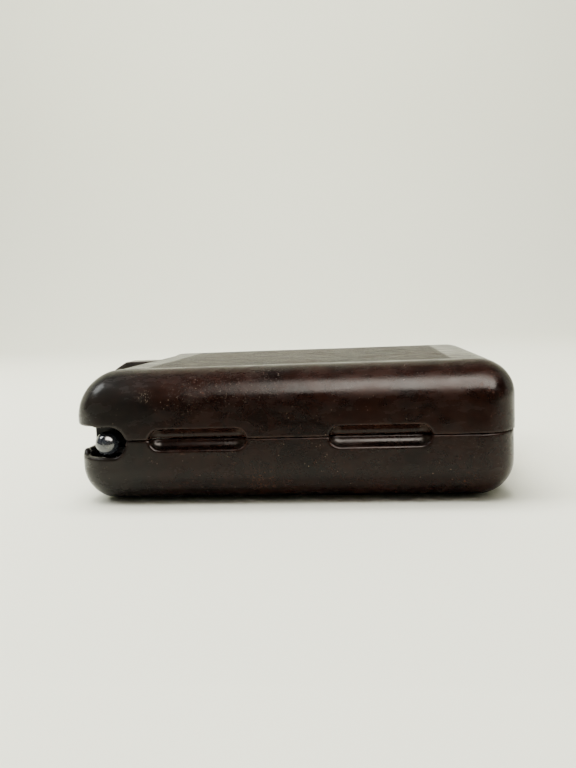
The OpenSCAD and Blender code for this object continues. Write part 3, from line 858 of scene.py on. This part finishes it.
def make_springs():
    """Conical coils whose end turns lie flat."""
    lo, hi = box_mm("lift_springs")
    wire = SPRING_WIRE_R
    sides, per_turn = 12, 40
    for side, name in ((-1, "near"), (1, "far")):
        points, faces = [], []
        count = SPRING_TURNS * per_turn
        for i in range(count + 1):
            t = i / count
            a = 2 * math.pi * SPRING_TURNS * t
            r = SPRING_RADII[0] + (SPRING_RADII[1] - SPRING_RADII[0]) * t
            flat = 0.5 / SPRING_TURNS
            rise = min(max((t - flat) / (1 - 2 * flat), 0), 1)
            z = lo[2] + wire + (hi[2] - lo[2] - 2 * wire) * rise
            for k in range(sides):
                b = 2 * math.pi * k / sides
                reach = r + wire * math.cos(b)
                points.append((SPRING_PLACE[0] + reach * math.cos(a),
                               side * SPRING_PLACE[1] + reach * math.sin(a),
                               z + wire * math.sin(b)))
        for i in range(count):
            for k in range(sides):
                m = (k + 1) % sides
                faces.append((i * sides + k, i * sides + m, (i + 1) * sides + m, (i + 1) * sides + k))
        faces.append(tuple(range(sides - 1, -1, -1)))
        faces.append(tuple(count * sides + k for k in range(sides)))
        spring = mesh_piece("spring_" + name, points, faces, WIRE)
        outward(spring)
        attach(spring, "tray")
        if side > 0:
            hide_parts("lift_springs")
        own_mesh(spring)


def make_felts():
    for node, body, rest in (("plate_felt", "plate", "lift_plate"), ("rear_felt", "tray", "tray")):
        solid, lo, hi = felt_solid(node)
        felt = piece_from_field("baize_" + body, solid, lo, hi, (0.7, 0.7, 0.2), BAIZE)
        stand_for(felt, body, "felt", node)


def make_small_mouldings():
    lift = piece_from_field("thumb_tab", lift_solid, LIFT_LO, LIFT_HI, (0.3, 0.3, 0.3), TAB_BAKELITE)
    stand_for(lift, "lid", "bakelite_dark", "thumb_lift")
    for side in ("near", "far"):
        lo, hi = box_mm("bearing_block_" + side)
        block_piece = piece_from_field("bearing_" + side, bearing_solid, lo, hi, (0.3, 0.3, 0.3),
                                       DARK_BAKELITE)
        stand_for(block_piece, "tray", "bakelite_dark", "bearing_block_" + side)


def make_shells():
    lid = piece_from_field("lid", lid_solid, LID_LO, LID_HI, (0.8, 0.38, 0.4), BAKELITE)
    stand_for(lid, "lid", "bakelite", "lid_shell")
    tray = piece_from_field("tray", tray_solid, TRAY_LO, TRAY_HI, (0.7, 0.7, 0.5), BAKELITE)
    stand_for(tray, "tray", "bakelite", "tray_shell")


# ------------------------------------------------------------------ CAD nodes that stay

FINISHES = {
    "thumb_lift": DARK_BAKELITE, "divider": DARK_BAKELITE,
    "bearing_block_near": DARK_BAKELITE, "bearing_block_far": DARK_BAKELITE,
    "knob_near": KNOB, "knob_far": KNOB, "roller_sleeves": RUBBER,
    "roller_shaft": STEEL, "bearing_screws": STEEL, "thumb_lift_pins": STEEL,
    "locating_pegs": STEEL, "hinge_pin": STEEL, "lift_plate": SHEET_STEEL, "lift_springs": WIRE,
    "bearing_bushes": BRASS, "shaft_collars": BRASS, "hinge_leaf_tray": BRASS,
    "hinge_leaf_lid": BRASS, "hinge_rivets_tray": BRASS, "hinge_rivets_lid": BRASS,
    "plate_felt": BAIZE, "rear_felt": BAIZE,
}

EDGE_WIDTHS = {
    "divider": 0.3, "lift_plate": 0.2, "hinge_leaf_tray": 0.15, "hinge_leaf_lid": 0.15,
    "roller_sleeves": 0.2, "shaft_collars": 0.12, "bearing_screws": 0.12, "bearing_bushes": 0.1,
    "roller_shaft": 0.2, "hinge_pin": 0.2, "locating_pegs": 0.25,
}


def dress_cad():
    """Gives every CAD node its finish, and softens the edges of those that stay in view."""
    for node, finish in FINISHES.items():
        part = frame["nodes"][node]
        for place in part.material_slots:
            place.link = "OBJECT"
            place.material = finish
        if node in EDGE_WIDTHS:
            weld = part.modifiers.new("weld", "WELD")
            weld.merge_threshold = 0.001 * MM
            bevel = part.modifiers.new("edges", "BEVEL")
            bevel.width = EDGE_WIDTHS[node] * MM
            bevel.segments = 2
            bevel.limit_method = "ANGLE"
            bevel.angle_limit = math.radians(50)
            bevel.harden_normals = False


# ------------------------------------------------------------------ floor and light


STAGE_NEAR, STAGE_HALF, STAGE_TOP = -9.0, 9.0, 2.6
STAGE_BACK, STAGE_BEND = 0.9, 0.5  # where the table starts to curve up, and its radius


def make_stage():
    """A pale table that curves up into a pale wall far behind."""
    made, n = material("pale_stage")
    cloud = n.noise(400, detail=2, seed=1)
    colour = n.mix(cloud, rgb(0.80, 0.80, 0.68), rgb(0.84, 0.84, 0.715))
    # the lamps don't reach the far floor, so it glows faintly there
    x, y, _ = n.place()
    aside = n.step(n.math("ABSOLUTE", x), 1200, 3000)
    far = n.math("MAXIMUM", aside, n.step(y, -500, -2200))
    n.finish(Base_Color=colour, Roughness=0.75, Normal=n.bump(n.noise(1.2, detail=5, seed=2), 0.06, 0.1),
             Emission_Color=colour, Emission_Strength=n.math("MULTIPLY", far, 1.25))
    profile = [(STAGE_NEAR, 0.0), (STAGE_BACK, 0.0)]
    bend, back, steps = STAGE_BEND, STAGE_BACK, 24
    for i in range(1, steps + 1):
        a = math.pi / 2 * i / steps
        profile.append((back + bend * math.sin(a), bend - bend * math.cos(a)))
    profile.append((back + bend, STAGE_TOP))
    mesh = bmesh.new()
    rows = [[mesh.verts.new((x, y, z)) for x in (-STAGE_HALF, STAGE_HALF)] for y, z in profile]
    for low, high in zip(rows, rows[1:]):
        mesh.faces.new((low[0], low[1], high[1], high[0])).smooth = True
    data = bpy.data.meshes.new("stage")
    mesh.to_mesh(data)
    mesh.free()
    data.materials.append(made)
    floor = bpy.data.objects.new("stage", data)
    bpy.context.scene.collection.objects.link(floor)


def area_light(name, place, aim, size, power, colour=(1, 1, 1)):
    data = bpy.data.lights.new(name, "AREA")
    data.shape = "RECTANGLE"
    data.size, data.size_y = size
    data.energy = power
    data.color = colour
    light = bpy.data.objects.new(name, data)
    bpy.context.scene.collection.objects.link(light)
    light.location = place
    light.rotation_euler = (Vector(aim) - Vector(place)).to_track_quat("-Z", "Y").to_euler()
    return light


FLAG_HALF, FLAG_PLACE, FLAG_TOP = 0.7, -0.155, 0.112


def make_flag():
    """The dim side of the room, which the near side mirrors: a card that only gloss can see."""
    made, n = material("dim_room")
    x, _, z = n.place()
    side = n.mix(n.step(x, -90, 60), rgb(0.20, 0.205, 0.185), rgb(0.19, 0.150, 0.115))
    glow = n.mix(n.step(z, 42, 75), side, rgb(0.010, 0.008, 0.007))
    glow = n.mix(n.step(n.noise(30, detail=3, seed=3), 0.3, 0.7, 0.0, 0.25), glow, rgb(0.02, 0.018, 0.016))
    n.finish(Base_Color=rgb(0.01, 0.01, 0.01), Roughness=0.9, Emission_Color=glow,
             Emission_Strength=1.0)
    x, y, top = FLAG_HALF, FLAG_PLACE, FLAG_TOP
    gloss_card("flag", [(-x, y, 0.001), (x, y, 0.001), (x, y, top), (-x, y, top)], made)


def gloss_card(name, corners, finish):
    """A card beside the case that shows in reflections only."""
    data = bpy.data.meshes.new(name)
    data.from_pydata(corners, [], [(0, 1, 2, 3)])
    data.materials.append(finish)
    card = bpy.data.objects.new(name, data)
    bpy.context.scene.collection.objects.link(card)
    card.visible_camera = False
    card.visible_shadow = False
    card.visible_diffuse = False


SKY_LEFT, SKY_RIGHT = -0.32, 0.95
SKY_NEAR, SKY_FAR = (-0.68, 0.51), (-0.22, 0.92)   # y and z of its two long edges


def make_sky_card():
    """The bright room above and in front, which the lid's near rounding mirrors as a band."""
    made, n = material("bright_room")
    x, y, _ = n.place()
    along = n.step(x, -230, 30)
    across = n.step(y, -240, -430, 0.15, 1.0)
    glow = n.math("MULTIPLY", along, across)
    glow = n.math("MULTIPLY", glow, n.step(n.noise(90, detail=3, seed=7), 0.3, 0.7, 0.5, 1.0))
    n.finish(Base_Color=rgb(0.01, 0.01, 0.01), Roughness=0.9, Emission_Color=rgb(1.0, 0.93, 0.83),
             Emission_Strength=n.math("MULTIPLY", glow, 36.0))
    corners = [(SKY_LEFT, *SKY_NEAR), (SKY_RIGHT, *SKY_NEAR),
               (SKY_RIGHT, *SKY_FAR), (SKY_LEFT, *SKY_FAR)]
    gloss_card("sky_card", corners, made)


def make_world():
    """A pale surround, bright behind and above the object and dim on the camera's side."""
    world = bpy.data.worlds.new("world")
    bpy.context.scene.world = world
    world.use_nodes = True
    n = Nodes(world.node_tree)
    place = n.add("ShaderNodeTexCoord")
    split = n.add("ShaderNodeSeparateXYZ")
    n.put(split, 0, place.outputs["Generated"])
    behind = n.step(split.outputs[1], -0.35, 0.7, 0.02, 0.55)
    seen = n.add("ShaderNodeLightPath").outputs["Is Camera Ray"]
    strength = n.math("MAXIMUM", behind, n.math("MULTIPLY", seen, 1.15))
    glow = n.add("ShaderNodeBackground")
    n.put(glow, "Color", rgb(0.96, 1.0, 0.94))
    n.put(glow, "Strength", strength)
    output = n.add("ShaderNodeOutputWorld")
    world.node_tree.links.new(glow.outputs[0], output.inputs["Surface"])


def make_lights():
    make_world()
    overhead = area_light("overhead", (-0.2, 0.05, 1.2), (-0.2, 0.05, 0), (0.8, 0.8), 27,
                          (1.0, 0.985, 0.94))
    overhead.visible_glossy = False
    wash = area_light("wall_wash", (-0.3, 0.30, 1.6), (-0.3, 1.35, 0.30), (2.2, 0.4), 43, (0.99, 1.0, 0.93))
    wash.visible_glossy = False
    area_light("window", (-0.75, -0.15, 0.8), (-0.05, -0.04, 0.03), (0.36, 0.45), 8, (0.97, 1.0, 0.98))


make_camera()
make_shells()
make_small_mouldings()
make_knobs()
make_rivets()
make_springs()
make_felts()
dress_cad()
make_stage()
make_flag()
make_sky_card()
make_lights()
